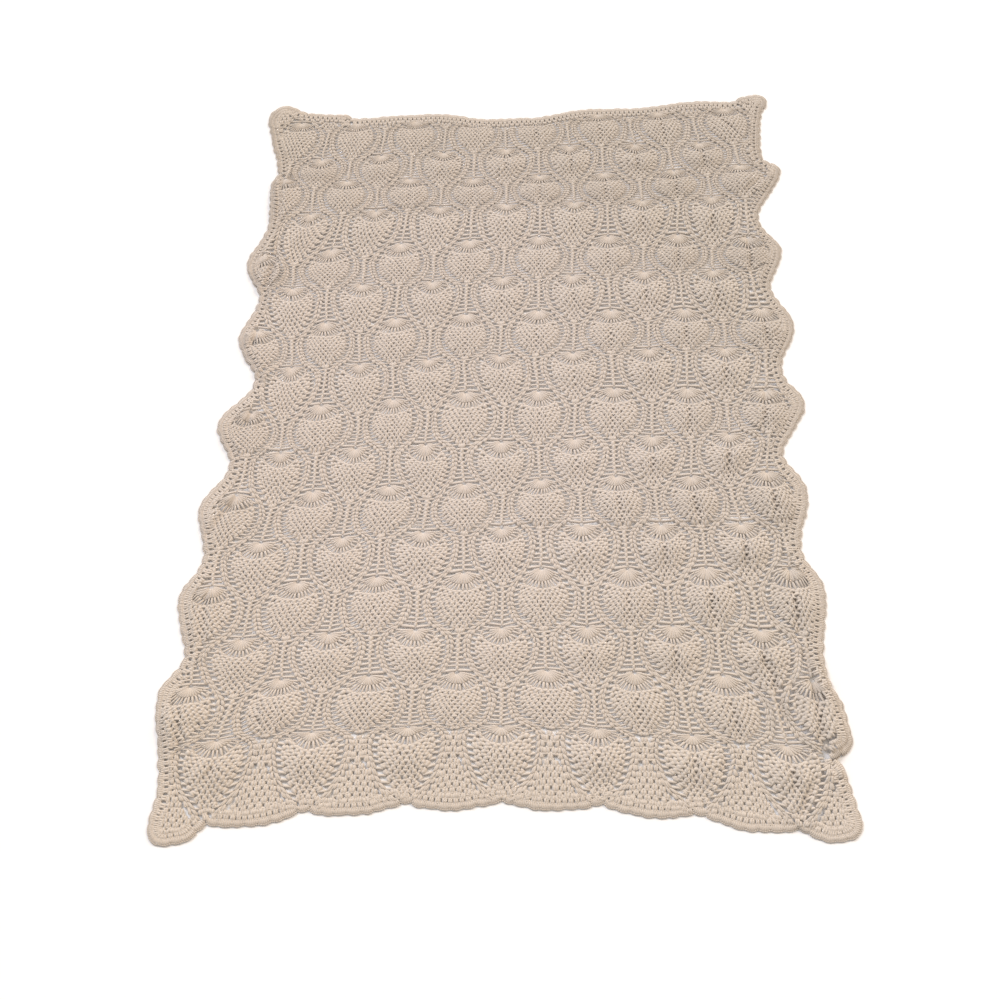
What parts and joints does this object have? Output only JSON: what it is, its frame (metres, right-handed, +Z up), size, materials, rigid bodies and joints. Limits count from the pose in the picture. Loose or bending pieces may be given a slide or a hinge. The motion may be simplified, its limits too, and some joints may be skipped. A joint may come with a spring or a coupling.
{
  "type": "crochet throw blanket",
  "caption": "Openwork crochet throw blanket in natural cotton, laid out flat: half-dropped pineapple motifs, scalloped long sides and a shell edging. It warms a person or dresses a sofa or bed.",
  "frame": {"origin": "on the floor, under the middle of the blanket's bounding box", "axes": "+X across the blanket to its right side, +Y along it from the foot end to the head end, +Z up off the floor"},
  "size_m": [1.2092, 1.7102, 0.0173],
  "materials": {
    "cotton_yarn": "matt natural cotton yarn, crocheted"
  },
  "bodies": {
    "root": {"blanket": "cotton_yarn"}
  },
  "joints": []
}
